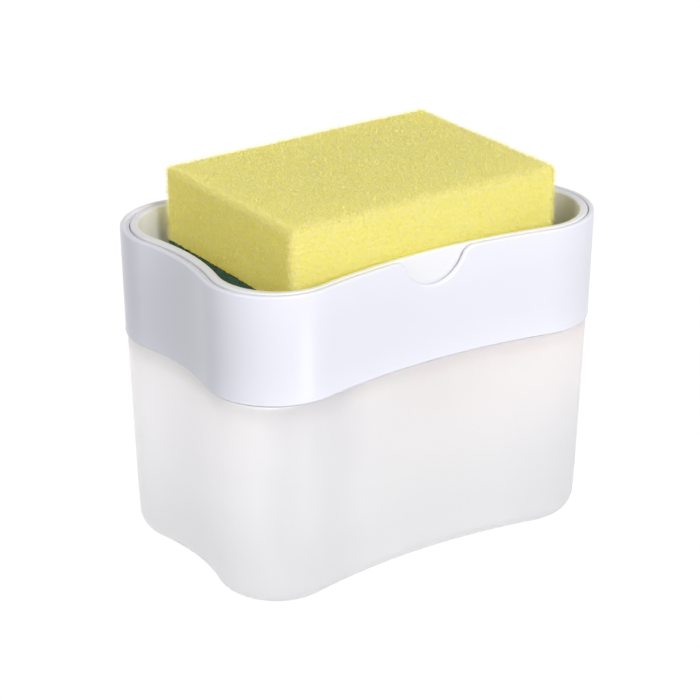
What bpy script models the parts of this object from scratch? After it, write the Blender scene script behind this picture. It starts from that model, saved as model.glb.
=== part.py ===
"""Press-top dish soap dispenser with a sponge tray, built as separate pieces with clearances.

Metres, +Z up. X runs along the long side, and the thumb notch faces -Y. The origin is on the
resting face, under the middle. Liquid is drawn through the dip tube into the pump housing, and
pressing the sponge down drives it through the stem to the nozzle in the middle of the tray.
"""
import math

import bmesh
import bpy
from mathutils import Vector

# Sponge: a foam block on a scouring pad
sponge_length = 0.1000
sponge_width = 0.0705
foam_thickness = 0.0235
pad_thickness = 0.0067
foam_edge_radius = 0.0016
pad_edge_radius = 0.0009
sponge_shift = 0.0006
sponge_turn_degrees = 1.0

# Clearances
seat_gap = 0.0003
valve_gap = 0.00015
tray_gap = 0.0013
press_clearance = 0.0005
sponge_side_clearance = 0.00145
sponge_end_clearance = 0.0126
cut_overrun = 0.0020

# Plan outline, seen from above at the rim
corner_radius = 0.0232
long_side_hollow = 0.00505
short_side_hollow = 0.0029
short_steps = 2
corner_steps = 5
long_steps = 3

# Cover: the white ring, its deck, the pump well and the skirt that plugs into the reservoir
ring_wall = 0.0016
ring_height = 0.0355
ring_draft_share = 0.019
deck_thickness = 0.0020
deck_fillet = 0.0015
skirt_thickness = 0.0014
skirt_depth = 0.0060
well_radius = 0.0150
well_wall = 0.0018
well_floor = 0.0020
notch_radius = 0.0115
notch_depth = 0.0102
notch_shoulder = 0.0045
notch_steps = 14
shoulder_steps = 4

# Reservoir
seam_height = 0.0700
reservoir_wall = 0.0018
reservoir_floor = 0.0020
reservoir_step = 0.00055
reservoir_draft_share = 0.029
base_fillet = 0.0065
inner_fillet = 0.0050
fillet_steps = 4
rim_steps = 3

# Sponge tray: its walls lie a little off its hole, as the gap round it in the photograph shows
tray_wall = 0.0016
tray_shift_right = 0.0009
tray_shift_front = 0.0003
tray_depth = 0.0149
tray_floor = 0.0018
tray_outer_fillet = 0.0030
tray_inner_fillet = 0.0018
rib_height = 0.0020
rib_width = 0.0016
rib_pitch = 0.0095
ribs_each_side = 4
rib_length_share = 0.84
rib_sink = 0.0006
collar_wall = 0.0014
collar_height = 0.0016
ledge_width = 0.0010
ledge_height = 0.0009

# Nozzle seal in the tray
seal_wall = 0.0012
seal_height = 0.0020

# Press head and nozzle cap
head_radius = 0.0130
head_thickness = 0.0022
head_rib_count = 6
head_rib_thickness = 0.0012
head_rib_reach_share = 0.9
socket_depth = 0.0080
socket_wall = 0.0013
spigot_radius = 0.0045
spigot_bore = 0.0032
spigot_height = 0.0029
cap_wall = 0.0006
cap_top = 0.0009
cap_hole_radius = 0.0006
cap_hole_ring = 0.0020
cap_hole_count = 5
outlet_passage = 0.0013
outlet_ball_radius = 0.0015

# Pump: the stroke is a share of the tub's height, and its working lengths are shares of the stroke
stroke_share = 1 / 7
sleeve_share = 1.0
piston_share = 0.55
rod_grip_share = 0.80
nipple_share = 0.70
spring_pressed_share = 0.86

# Stem, piston rod and piston
stem_radius = 0.0036
stem_bore = 0.0022
rod_bore = 0.0011
rod_foot_radius = 0.0043
rod_foot_thickness = 0.0016
piston_lip = 0.0012
piston_waist = 0.0008

# Return spring
spring_wire = 0.0008
spring_radius = 0.0038
spring_curls = 7
spring_end_pitch = 0.0014
points_per_curl = 10

# Pump housing
housing_bore = 0.0050
housing_wall = 0.0012
housing_flange_radius = 0.0115
housing_flange_thickness = 0.0018
sleeve_bore = 0.0070
thread_wall = 0.0011
thread_tail = 0.0005
barrel_taper = 0.0010
inlet_passage = 0.0015
seat_rim = 0.0011
inlet_floor = 0.0010
nipple_bore = 0.0033
nipple_wall = 0.0012
inlet_ball_radius = 0.0020
vent_radius = 0.0006

# Guide collar, ball cage, gasket, nut and dip tube
collar_flange_radius = 0.0110
collar_flange_thickness = 0.0018
sleeve_wall = 0.0012
sleeve_lip = 0.0012
cage_height = 0.0050
cage_wall = 0.0010
cage_top = 0.0012
cage_hole = 0.0013
cage_slot = 0.0014
gasket_thickness = 0.0013
nut_height = 0.0060
nut_wall = 0.0040
nut_rib_count = 12
nut_rib_radius = 0.0009
tube_wall = 0.0009
tube_floor_gap = 0.0022
tube_slant = 0.0020

turned_steps = 24
small_ball_segments = 14
small_ball_rings = 8
merge_distance = 0.00001

# Sizes and levels that follow from the ones above
body_walls = ring_wall + tray_gap + tray_wall
half_length = sponge_length / 2 + sponge_end_clearance + body_walls + short_side_hollow
half_width = sponge_width / 2 + sponge_side_clearance + body_walls + long_side_hollow
seam_inset = ring_height * ring_draft_share
reservoir_inset = seam_inset + reservoir_step
mouth_inset = reservoir_inset + reservoir_wall

rim_top = seam_height + ring_height
reservoir_top = seam_height - seat_gap
deck_top = seam_height + deck_thickness
rib_top = rim_top - tray_depth
floor_top = rib_top - rib_height
tray_bottom = floor_top - tray_floor
pad_bottom = rib_top + seat_gap
foam_bottom = pad_bottom + pad_thickness + seat_gap

head_top = tray_bottom - seat_gap
head_bottom = head_top - head_thickness
socket_bottom = head_bottom - socket_depth
socket_radius = stem_radius + seat_gap
spigot_top = head_top + spigot_height
cap_radius = spigot_radius + seat_gap + cap_wall
nozzle_top = spigot_top + seat_gap + cap_top
seal_bore = cap_radius + seat_gap
seal_radius = seal_bore + seal_wall
tray_hole = seal_radius + seat_gap
ledge_hole = tray_hole - ledge_width
ledge_top = tray_bottom + ledge_height

stroke = seam_height * stroke_share
collar_top = socket_bottom - stroke - press_clearance
collar_bottom = collar_top - collar_flange_thickness
flange_top = collar_bottom - seat_gap
flange_bottom = flange_top - housing_flange_thickness
gasket_bottom = flange_bottom - seat_gap - gasket_thickness
well_top = gasket_bottom - seat_gap
well_bottom = well_top - well_floor
nut_bottom = well_bottom - seat_gap - nut_height

thread_radius = sleeve_bore + thread_wall
barrel_radius = housing_bore + housing_wall
thread_bottom = nut_bottom - thread_tail
sleeve_bottom = collar_bottom - stroke * sleeve_share
bore_top = sleeve_bottom - seat_gap
piston_top = bore_top - seat_gap
piston_bottom = piston_top - stroke * piston_share
stem_bottom = piston_top + seat_gap
stem_top = head_bottom - seat_gap
rod_radius = stem_bore - seat_gap
rod_foot_top = piston_bottom - seat_gap
rod_bottom = rod_foot_top - rod_foot_thickness
rod_top = stem_bottom + stroke * rod_grip_share
spring_length = stroke + stroke * spring_pressed_share
spring_top = rod_bottom - seat_gap
spring_bottom = spring_top - spring_length
cage_bottom = spring_bottom - seat_gap - cage_height
bore_bottom = cage_bottom - seat_gap
seat_bottom = bore_bottom - seat_rim
nipple_top = seat_bottom - inlet_floor
nipple_bottom = nipple_top - stroke * nipple_share
nipple_radius = nipple_bore + nipple_wall
tube_top = nipple_top - seat_gap
tube_bottom = reservoir_floor + tube_floor_gap
tube_radius = nipple_bore - seat_gap


def clear_scene():
    """Take every object out of the scene."""
    for old in list(bpy.data.objects):
        bpy.data.objects.remove(old, do_unlink=True)


def new_collection(name):
    """A collection under the scene."""
    made = bpy.data.collections.new(name)
    bpy.context.scene.collection.children.link(made)
    return made


def plastic(name, colour, roughness):
    """A Principled material of one colour."""
    made = bpy.data.materials.new(name)
    made.use_nodes = True
    shader = made.node_tree.nodes["Principled BSDF"]
    shader.inputs["Base Color"].default_value = (*colour, 1.0)
    shader.inputs["Roughness"].default_value = roughness
    shader.inputs["Metallic"].default_value = 0.0
    made.diffuse_color = (*colour, 1.0)
    return made


def steel(name, roughness):
    """Bare spring or ball steel."""
    made = plastic(name, (0.62, 0.63, 0.65), roughness)
    made.node_tree.nodes["Principled BSDF"].inputs["Metallic"].default_value = 1.0
    return made


def add_object(name, mesh, material, height=0.0):
    """Put a mesh in the dispenser's collection as a piece standing at a height on the axis."""
    piece = bpy.data.objects.new(name, mesh)
    piece.location.z = height
    piece.data.materials.append(material)
    piece.data.shade_smooth()
    piece.data.set_sharp_from_angle(angle=math.radians(35))
    pieces.objects.link(piece)
    return piece


def as_cutter(tool):
    """Keep a tool object out of the model."""
    for home in list(tool.users_collection):
        home.objects.unlink(tool)
    cutters.objects.link(tool)
    tool.hide_render = True
    tool.display_type = "WIRE"
    return tool


def boolean(piece, tool, operation):
    """Cut a tool out of a piece, or join it on."""
    step = piece.modifiers.new(f"{operation.lower()} {tool.name}", "BOOLEAN")
    step.operation = operation
    step.solver = "EXACT"
    step.object = tool
    return step


def arc(centre, radius, start, end, steps):
    """Points along an arc, both ends included."""
    turns = [start + (end - start) * i / steps for i in range(steps + 1)]
    return [(centre[0] + radius * math.cos(t), centre[1] + radius * math.sin(t)) for t in turns]


def hollow_radius(reach, hollow):
    """Radius of a side that bows in by hollow and runs smoothly into both corners."""
    return (reach * reach + hollow * hollow) / (2 * hollow) - corner_radius


def outline(inset):
    """The plan outline moved in by inset: round corners joined by hollow sides, anticlockwise."""
    corner_x = half_length - corner_radius
    corner_y = half_width - corner_radius
    long_radius = hollow_radius(corner_x, long_side_hollow)
    short_radius = hollow_radius(corner_y, short_side_hollow)
    long_centre = half_width - long_side_hollow + long_radius
    short_centre = half_length - short_side_hollow + short_radius
    low = math.atan2(-corner_y, short_centre - corner_x)
    high = math.atan2(long_centre - corner_y, -corner_x)
    corner = (corner_x, corner_y)
    quarter = arc((short_centre, 0), short_radius + inset, math.pi, math.pi + low, short_steps)
    for start, end, steps in ((low, 0, 1), (0, math.pi / 2, corner_steps), (math.pi / 2, high, 1)):
        quarter += arc(corner, corner_radius - inset, start, end, steps)[1:]
    quarter += arc((0, long_centre), long_radius + inset, high - math.pi, -math.pi / 2, long_steps)[1:]
    points = []
    for sign_x, sign_y in ((1, 1), (-1, 1), (-1, -1), (1, -1)):
        side = [(sign_x * x, sign_y * y) for x, y in quarter]
        if sign_x != sign_y:
            side.reverse()
        points += side[:-1]
    return points


def plan_ring(inset, height, shift=(0, 0)):
    """The plan outline at a height, moved over by a shift."""
    return [Vector((x + shift[0], y + shift[1], height)) for x, y in outline(inset)]


def round_ring(radius, height):
    """A circle with a point straight in from each point of the plan outline."""
    return [Vector((x, y, 0)).normalized() * radius + Vector((0, 0, height)) for x, y in outline(0)]


def loft(name, rings, material, closed):
    """Join rings of equal count into one skin, closed on itself or capped at its two ends."""
    shape = bmesh.new()
    loops = [[shape.verts.new(point) for point in ring] for ring in rings]
    pairs = list(zip(loops, loops[1:]))
    if closed:
        pairs.append((loops[-1], loops[0]))
    else:
        shape.faces.new(loops[0])
        shape.faces.new(loops[-1])
    for here, there in pairs:
        count = len(here)
        for i in range(count):
            j = (i + 1) % count
            shape.faces.new((here[i], here[j], there[j], there[i]))
    bmesh.ops.recalc_face_normals(shape, faces=shape.faces)
    mesh = bpy.data.meshes.new(name)
    shape.to_mesh(mesh)
    shape.free()
    return add_object(name, mesh, material)


def quarter_round(start_inset, start_height, inset_way, height_way, radius, inset_first):
    """Inset and height along a quarter fillet, from one straight run to the next."""
    points = []
    for i in range(fillet_steps + 1):
        turn = math.pi / 2 * i / fillet_steps
        along, across = math.sin(turn) * radius, (1 - math.cos(turn)) * radius
        if inset_first:
            points.append((start_inset + inset_way * along, start_height + height_way * across))
        else:
            points.append((start_inset + inset_way * across, start_height + height_way * along))
    return points


def half_round(outer_inset, inner_inset, top):
    """Inset and height over a fully rounded rim, from the outer face to the inner one."""
    half = (inner_inset - outer_inset) / 2
    points = []
    for i in range(2 * rim_steps + 1):
        turn = math.pi * i / (2 * rim_steps)
        points.append((outer_inset + half - half * math.cos(turn), top - half + half * math.sin(turn)))
    return points


def turned(name, profile, material, height=0.0):
    """Turn a closed profile of (radius, height) points, outer side first and downwards."""
    mesh = bpy.data.meshes.new(name)
    points = [(radius, 0, z) for radius, z in profile]
    edges = [(i, (i + 1) % len(points)) for i in range(len(points))]
    mesh.from_pydata(points, edges, [])
    piece = add_object(name, mesh, material, height)
    spin = piece.modifiers.new("turn", "SCREW")
    spin.axis = "Z"
    spin.angle = math.tau
    spin.screw_offset = 0
    spin.steps = turned_steps
    spin.render_steps = turned_steps
    spin.use_merge_vertices = True
    spin.merge_threshold = merge_distance
    spin.use_smooth_shade = False
    return piece


def ball(name, radius, material, height):
    """A small ball on the axis."""
    shape = bmesh.new()
    bmesh.ops.create_uvsphere(
        shape, u_segments=small_ball_segments, v_segments=small_ball_rings, radius=radius
    )
    mesh = bpy.data.meshes.new(name)
    shape.to_mesh(mesh)
    shape.free()
    return add_object(name, mesh, material, height)


def box(name, size, centre, material, turn=0.0):
    """A block with its middle at a point, turned about the vertical."""
    shape = bmesh.new()
    bmesh.ops.create_cube(shape, size=1)
    bmesh.ops.scale(shape, verts=shape.verts, vec=size)
    mesh = bpy.data.meshes.new(name)
    shape.to_mesh(mesh)
    shape.free()
    piece = add_object(name, mesh, material)
    piece.location = centre
    piece.rotation_euler.z = turn
    return piece


def rod_tool(name, radius, length, centre, turn=(0, 0, 0)):
    """A round bar for cutting or joining, with its middle at a point."""
    shape = bmesh.new()
    bmesh.ops.create_cone(
        shape, cap_ends=True, segments=turned_steps // 2, radius1=radius, radius2=radius, depth=length
    )
    mesh = bpy.data.meshes.new(name)
    shape.to_mesh(mesh)
    shape.free()
    tool = bpy.data.objects.new(name, mesh)
    tool.location = centre
    tool.rotation_euler = turn
    pieces.objects.link(tool)
    return as_cutter(tool)


def soft_edges(piece, width, segments):
    """Round every edge of a block."""
    step = piece.modifiers.new("soft edges", "BEVEL")
    step.width = width
    step.segments = segments
    step.limit_method = "ANGLE"
    return step


def make_reservoir(material):
    """The tub: a drafted shell with a rounded base and an open mouth."""
    outer_base = reservoir_inset + reservoir_draft_share * reservoir_top
    inner_base = outer_base + reservoir_wall
    section = quarter_round(outer_base + base_fillet, 0, -1, 1, base_fillet, True)
    section += [(reservoir_inset, reservoir_top), (mouth_inset, reservoir_top)]
    inner = quarter_round(
        inner_base + inner_fillet, reservoir_floor, -1, 1, inner_fillet, True
    )
    section += reversed(inner)
    return loft("reservoir", [plan_ring(i, z) for i, z in section], material, closed=False)


def make_cover(material):
    """Ring, deck, pump well and plug skirt in one moulding, with the thumb notch cut out."""
    deck_inset = ring_wall + ring_draft_share * (rim_top - deck_top)
    skirt_outer = mouth_inset + reservoir_draft_share * skirt_depth + seat_gap
    skirt_inner = skirt_outer + skirt_thickness
    skirt_bottom = seam_height - skirt_depth
    ring = [(seam_inset, seam_height)]
    ring += half_round(0, ring_wall, rim_top)
    ring += quarter_round(deck_inset, deck_top + deck_fillet, 1, -1, deck_fillet, False)
    rings = [plan_ring(i, z) for i, z in ring]
    well = [
        (well_radius, deck_top),
        (well_radius, well_top),
        (thread_radius + seat_gap, well_top),
        (thread_radius + seat_gap, well_bottom),
        (well_radius + well_wall, well_bottom),
        (well_radius + well_wall, seam_height),
    ]
    rings += [round_ring(r, z) for r, z in well]
    skirt = [
        (skirt_inner, seam_height),
        (skirt_inner, skirt_bottom),
        (skirt_outer, skirt_bottom),
        (skirt_outer, seam_height),
    ]
    rings += [plan_ring(i, z) for i, z in skirt]
    cover = loft("top_cover", rings, material, closed=True)
    boolean(cover, notch_cutter(), "DIFFERENCE")
    return cover


def notch_cutter():
    """The thumb notch's outline, drawn in the front wall and run through it."""
    centre_z = rim_top - notch_depth + notch_radius
    rise = centre_z - rim_top
    shoulder_x = math.sqrt((notch_radius + notch_shoulder) ** 2 - (rise + notch_shoulder) ** 2)
    lean = math.atan2(rise + notch_shoulder, shoulder_x)
    shoulder = (shoulder_x, rim_top - notch_shoulder)
    right = arc((0, centre_z), notch_radius, -math.pi / 2, -lean, notch_steps // 2)
    right += arc(shoulder, notch_shoulder, math.pi - lean, math.pi / 2, shoulder_steps)[1:]
    right.append((shoulder_x, rim_top + cut_overrun))
    left = [(-x, z) for x, z in reversed(right[1:])]
    front = -half_width - cut_overrun
    inner_face = long_side_hollow + ring_wall + ring_draft_share * notch_depth + tray_gap / 2
    back = -half_width + inner_face
    shape = bmesh.new()
    face = shape.faces.new([shape.verts.new((x, front, z)) for x, z in left + right])
    grown = bmesh.ops.extrude_face_region(shape, geom=[face])
    moved = [item for item in grown["geom"] if isinstance(item, bmesh.types.BMVert)]
    bmesh.ops.translate(shape, verts=moved, vec=(0, back - front, 0))
    bmesh.ops.recalc_face_normals(shape, faces=shape.faces)
    mesh = bpy.data.meshes.new("notch_cutter")
    shape.to_mesh(mesh)
    shape.free()
    tool = bpy.data.objects.new("notch_cutter", mesh)
    pieces.objects.link(tool)
    return as_cutter(tool)


def make_tray(material):
    """The dish that the sponge lies in, with drip ribs and a collar round the nozzle."""
    outer_rim = ring_wall + tray_gap
    inner_rim = outer_rim + tray_wall
    outer_foot = outer_rim + ring_draft_share * (rim_top - tray_bottom)
    inner_foot = inner_rim + ring_draft_share * (rim_top - floor_top)
    outside = quarter_round(outer_foot + tray_outer_fillet, tray_bottom, -1, 1, tray_outer_fillet, True)
    outside += half_round(outer_rim, inner_rim, rim_top)
    inside = quarter_round(inner_foot + tray_inner_fillet, floor_top, -1, 1, tray_inner_fillet, True)
    outside += reversed(inside)
    shift = (tray_shift_right, -tray_shift_front)
    rings = [plan_ring(i, z, shift) for i, z in outside]
    middle = [
        (tray_hole + collar_wall, floor_top),
        (tray_hole + collar_wall, floor_top + collar_height),
        (tray_hole, floor_top + collar_height),
        (tray_hole, ledge_top),
        (ledge_hole, ledge_top),
        (ledge_hole, tray_bottom),
    ]
    rings += [round_ring(r, z) for r, z in middle]
    tray = loft("sponge_tray", rings, material, closed=True)
    for side in (-1, 1):
        for number in range(ribs_each_side):
            add_rib(tray, side, number, material)
    return tray


def add_rib(tray, side, number, material):
    """One drip rib across the tray's floor, joined to it."""
    across = tray_hole + collar_wall + rib_width + rib_pitch * number
    size = (rib_width, sponge_width * rib_length_share, rib_height + rib_sink)
    middle = (side * across, 0, rib_top - size[2] / 2)
    tool = box(f"rib_{number}_{'right' if side > 0 else 'left'}", size, middle, material)
    boolean(tray, as_cutter(tool), "UNION")


def make_seal(material):
    """The soft ring between the tray and the nozzle."""
    profile = [(seal_radius, seal_height), (seal_radius, 0), (seal_bore, 0), (seal_bore, seal_height)]
    return turned("nozzle_seal", profile, material, ledge_top + seat_gap)


def make_head(material):
    """The round press head: plate, stem socket, stiffening ribs and the spigot with its ball seat."""
    seat = seat_height()
    profile = [
        (spigot_radius, spigot_top),
        (spigot_radius, head_top),
        (head_radius, head_top),
        (head_radius, head_bottom),
        (socket_radius + socket_wall, head_bottom),
        (socket_radius + socket_wall, socket_bottom),
        (socket_radius, socket_bottom),
        (socket_radius, head_bottom),
        (outlet_passage, head_bottom),
        (outlet_passage, seat),
        (spigot_bore, seat + spigot_bore - outlet_passage),
        (spigot_bore, spigot_top),
    ]
    head = turned("press_head", profile, material)
    inner = socket_radius + socket_wall / 2
    reach = head_radius * head_rib_reach_share
    for number in range(head_rib_count):
        turn = math.tau * number / head_rib_count
        drop = socket_depth / 2
        size = (reach - inner, head_rib_thickness, drop + head_thickness / 2)
        along = (reach + inner) / 2
        top = head_bottom + head_thickness / 2
        middle = (along * math.cos(turn), along * math.sin(turn), top - size[2] / 2)
        tool = as_cutter(box(f"head_rib_{number}", size, middle, material, turn))
        boolean(head, tool, "UNION")
    return head


def seat_height():
    """Level where the outlet passage starts to widen into the ball's seat."""
    return head_top - (head_thickness - valve_gap) / 2


def cone_ball_height(passage, passage_level, radius):
    """Middle of a ball that lies in a 45 degree seat above a round passage, a valve gap clear."""
    return passage_level - passage + (radius + valve_gap) * math.sqrt(2)


def make_nozzle_cap(material):
    """The perforated cap over the spigot."""
    inner = spigot_radius + seat_gap
    skirt = cap_bottom()
    profile = [
        (cap_radius, nozzle_top),
        (cap_radius, skirt),
        (inner, skirt),
        (inner, nozzle_top - cap_top),
        (cap_hole_radius, nozzle_top - cap_top),
        (cap_hole_radius, nozzle_top),
    ]
    cap = turned("nozzle_cap", profile, material)
    for number in range(cap_hole_count):
        turn = math.tau * number / cap_hole_count
        place = (cap_hole_ring * math.cos(turn), cap_hole_ring * math.sin(turn), nozzle_top)
        tool = rod_tool(f"cap_hole_{number}", cap_hole_radius, 2 * (cap_top + cut_overrun), place)
        boolean(cap, tool, "DIFFERENCE")
    return cap


def cap_bottom():
    """Lower edge of the nozzle cap, a seat gap above the press head's plate."""
    return head_top + seat_gap


def make_stem(material):
    """The hollow stem between the piston and the press head."""
    profile = [
        (stem_radius, stem_top),
        (stem_radius, stem_bottom),
        (stem_bore, stem_bottom),
        (stem_bore, stem_top),
    ]
    return turned("pump_stem", profile, material)


def make_rod(material):
    """The hollow rod that holds the piston to the stem and stands on the spring."""
    profile = [
        (rod_radius, rod_top),
        (rod_radius, rod_foot_top),
        (rod_foot_radius, rod_foot_top),
        (rod_foot_radius, rod_bottom),
        (rod_bore, rod_bottom),
        (rod_bore, rod_top),
    ]
    return turned("piston_rod", profile, material)


def make_piston(material):
    """The soft piston: a sleeve with a wiping lip at each end."""
    outer = housing_bore - seat_gap
    waist = outer - piston_waist
    profile = [
        (outer, piston_top),
        (outer, piston_top - piston_lip),
        (waist, piston_top - piston_lip - piston_waist),
        (waist, piston_bottom + piston_lip + piston_waist),
        (outer, piston_bottom + piston_lip),
        (outer, piston_bottom),
        (stem_bore, piston_bottom),
        (stem_bore, piston_top),
    ]
    return turned("piston", profile, material)


def spring_points():
    """Centre line of the return spring: close curls at both ends, an even climb between."""
    wire_half = spring_wire / 2
    climb = spring_length - spring_wire
    middle_curls = spring_curls - 2
    middle_pitch = (climb - 2 * spring_end_pitch) / middle_curls
    points = []
    for i in range(spring_curls * points_per_curl + 1):
        curl = i / points_per_curl
        low = min(curl, 1) * spring_end_pitch
        mid = min(max(curl - 1, 0), middle_curls) * middle_pitch
        high = max(curl - 1 - middle_curls, 0) * spring_end_pitch
        turn = math.tau * curl
        height = spring_bottom + wire_half + low + mid + high
        points.append(
            Vector((spring_radius * math.cos(turn), spring_radius * math.sin(turn), height))
        )
    return points


def print_spring_gap(points):
    """Say how near the spring's curls come to each other."""
    nearest = min(
        (points[i] - points[j]).length
        for i in range(len(points))
        for j in range(i + points_per_curl // 2, len(points))
    )
    print(f"return_spring: least gap between curls {(nearest - spring_wire) * 1000:.2f} mm")


def make_spring(material):
    """The return spring as one wire."""
    points = spring_points()
    print_spring_gap(points)
    path = bpy.data.curves.new("return_spring", "CURVE")
    path.dimensions = "3D"
    line = path.splines.new("POLY")
    line.points.add(len(points) - 1)
    for spot, point in zip(line.points, points):
        spot.co = (*point, 1)
    path.bevel_depth = spring_wire / 2
    path.bevel_resolution = 1
    path.use_fill_caps = True
    path.materials.append(material)
    spring = bpy.data.objects.new("return_spring", path)
    pieces.objects.link(spring)
    return spring


def make_housing(material):
    """The pump housing: flange, threaded neck, barrel, ball seat and the dip tube's nipple."""
    profile = [
        (housing_flange_radius, flange_top),
        (housing_flange_radius, flange_bottom),
        (thread_radius, flange_bottom),
        (thread_radius, thread_bottom),
        (barrel_radius, thread_bottom - barrel_taper),
        (barrel_radius, nipple_top),
        (nipple_radius, nipple_top - (barrel_radius - nipple_radius)),
        (nipple_radius, nipple_bottom),
        (nipple_bore, nipple_bottom),
        (nipple_bore, nipple_top),
        (inlet_passage, nipple_top),
        (inlet_passage, seat_bottom),
        (inlet_passage + seat_rim, bore_bottom),
        (housing_bore, bore_bottom),
        (housing_bore, bore_top),
        (sleeve_bore, bore_top),
        (sleeve_bore, flange_top),
    ]
    housing = turned("pump_housing", profile, material)
    length = barrel_radius + cut_overrun
    place = (length / 2, 0, thread_bottom - barrel_taper - vent_radius)
    tool = rod_tool("vent_cutter", vent_radius, length, place, (0, math.pi / 2, 0))
    boolean(housing, tool, "DIFFERENCE")
    return housing


def make_collar(material):
    """The guide collar that closes the housing and steers the stem."""
    outer = sleeve_bore - seat_gap
    guide = stem_radius + seat_gap
    profile = [
        (collar_flange_radius, collar_top),
        (collar_flange_radius, collar_bottom),
        (outer, collar_bottom),
        (outer, sleeve_bottom),
        (guide, sleeve_bottom),
        (guide, sleeve_bottom + sleeve_lip),
        (outer - sleeve_wall, sleeve_bottom + sleeve_lip),
        (outer - sleeve_wall, collar_bottom),
        (guide, collar_bottom),
        (guide, collar_top),
    ]
    return turned("guide_collar", profile, material)


def make_cage(material):
    """The slotted cage over the inlet ball, which the spring stands on."""
    outer = housing_bore - seat_gap
    profile = [
        (outer, cage_bottom + cage_height),
        (outer, cage_bottom),
        (outer - cage_wall, cage_bottom),
        (outer - cage_wall, cage_bottom + cage_height - cage_top),
        (cage_hole, cage_bottom + cage_height - cage_top),
        (cage_hole, cage_bottom + cage_height),
    ]
    cage = turned("ball_cage", profile, material)
    slot_top = cage_bottom + cage_height - 2 * cage_top
    reach = 2 * (outer + cut_overrun)
    size = (reach, cage_slot, slot_top - cage_bottom + cut_overrun)
    middle = (0, 0, slot_top - size[2] / 2)
    for number in range(2):
        tool = box(f"cage_slot_{number}", size, middle, material, math.pi / 2 * number + math.pi / 4)
        boolean(cage, as_cutter(tool), "DIFFERENCE")
    return cage


def make_gasket(material):
    """The flat gasket under the housing's flange."""
    inner = thread_radius + seat_gap
    profile = [
        (housing_flange_radius, gasket_thickness),
        (housing_flange_radius, 0),
        (inner, 0),
        (inner, gasket_thickness),
    ]
    return turned("housing_gasket", profile, material, gasket_bottom)


def make_nut(material):
    """The retaining nut under the well, with grip ribs round it."""
    inner = thread_radius + seat_gap
    outer = inner + nut_wall
    profile = [(outer, nut_height), (outer, 0), (inner, 0), (inner, nut_height)]
    nut = turned("retaining_nut", profile, material, nut_bottom)
    for number in range(nut_rib_count):
        turn = math.tau * (number + 1 / 2) / nut_rib_count
        height = nut_bottom + nut_height / 2
        place = (outer * math.cos(turn), outer * math.sin(turn), height)
        boolean(nut, rod_tool(f"grip_{number}", nut_rib_radius, 2 * nut_height, place), "DIFFERENCE")
    return nut


def make_dip_tube(material):
    """The dip tube, cut on a slant above the reservoir's floor."""
    inner = tube_radius - tube_wall
    profile = [(tube_radius, tube_top), (tube_radius, tube_bottom), (inner, tube_bottom), (inner, tube_top)]
    tube = turned("dip_tube", profile, material)
    lean = math.atan2(tube_slant, 2 * tube_radius)
    width = 2 * (tube_radius + cut_overrun)
    size = (width, width, tube_slant)
    low = tube_bottom + tube_slant / 2
    middle = (math.sin(lean) * size[2] / 2, 0, low - math.cos(lean) * size[2] / 2)
    tool = as_cutter(box("slant_cutter", size, middle, material))
    tool.rotation_euler.y = -lean
    boolean(tube, tool, "DIFFERENCE")
    return tube


def make_sponge(foam_material, pad_material):
    """The sponge: foam over a scouring pad, lying on the tray's ribs."""
    turn = math.radians(sponge_turn_degrees)
    pad_size = (sponge_length, sponge_width, pad_thickness)
    foam_size = (sponge_length, sponge_width, foam_thickness)
    pad = box("scour_pad", pad_size, (sponge_shift, 0, pad_bottom + pad_thickness / 2), pad_material, turn)
    foam = box("sponge_foam", foam_size, (sponge_shift, 0, foam_bottom + foam_thickness / 2), foam_material, turn)
    soft_edges(pad, pad_edge_radius, 2)
    soft_edges(foam, foam_edge_radius, 2)
    return [foam, pad]


def joint_empty(name, parent, children):
    """An empty on the vertical axis that carries what moves together."""
    holder = bpy.data.objects.new(name, None)
    holder.parent = parent
    pieces.objects.link(holder)
    for child in children:
        child.parent = holder
    return holder


clear_scene()
pieces = new_collection("dish_soap_dispenser")
cutters = new_collection("cutters")

white = plastic("white_plastic", (0.87, 0.87, 0.90), 0.30)
frosted = plastic("frosted_plastic", (0.80, 0.80, 0.82), 0.45)
cream = plastic("tray_plastic", (0.86, 0.86, 0.84), 0.32)
natural = plastic("natural_plastic", (0.78, 0.79, 0.78), 0.40)
clear_blue = plastic("seal_rubber", (0.55, 0.58, 0.62), 0.60)
yellow = plastic("yellow_foam", (0.80, 0.72, 0.20), 0.95)
green = plastic("green_pad", (0.05, 0.17, 0.10), 0.98)
wire_steel = steel("spring_steel", 0.30)
ball_steel = steel("ball_steel", 0.15)

reservoir = make_reservoir(frosted)
cover_pieces = [
    make_cover(white),
    make_housing(natural),
    make_collar(natural),
    make_cage(natural),
    make_gasket(clear_blue),
    make_nut(white),
    make_dip_tube(natural),
]
plunger_pieces = [
    make_head(white),
    make_nozzle_cap(white),
    make_stem(natural),
    make_rod(natural),
    make_piston(clear_blue),
    make_spring(wire_steel),
]
tray_pieces = [make_tray(cream), make_seal(clear_blue)]
sponge_pieces = make_sponge(yellow, green)
inlet_height = cone_ball_height(inlet_passage, seat_bottom, inlet_ball_radius)
outlet_height = cone_ball_height(outlet_passage, seat_height(), outlet_ball_radius)
inlet_ball = ball("inlet_ball", inlet_ball_radius, ball_steel, inlet_height)
outlet_ball = ball("outlet_ball", outlet_ball_radius, ball_steel, outlet_height)

cover_lift = joint_empty("cover_lift", None, cover_pieces)
plunger_slide = joint_empty("plunger_slide", cover_lift, plunger_pieces)
tray_lift = joint_empty("tray_lift", plunger_slide, tray_pieces)
joint_empty("sponge_lift", tray_lift, sponge_pieces)
joint_empty("inlet_valve", cover_lift, [inlet_ball])
joint_empty("outlet_valve", plunger_slide, [outlet_ball])
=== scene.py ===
"""Looks of the press-top dish soap dispenser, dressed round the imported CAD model.

Metres, +Z up, in the CAD's own frame: X along the long side, the thumb notch facing -Y.
"""

import math

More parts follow.
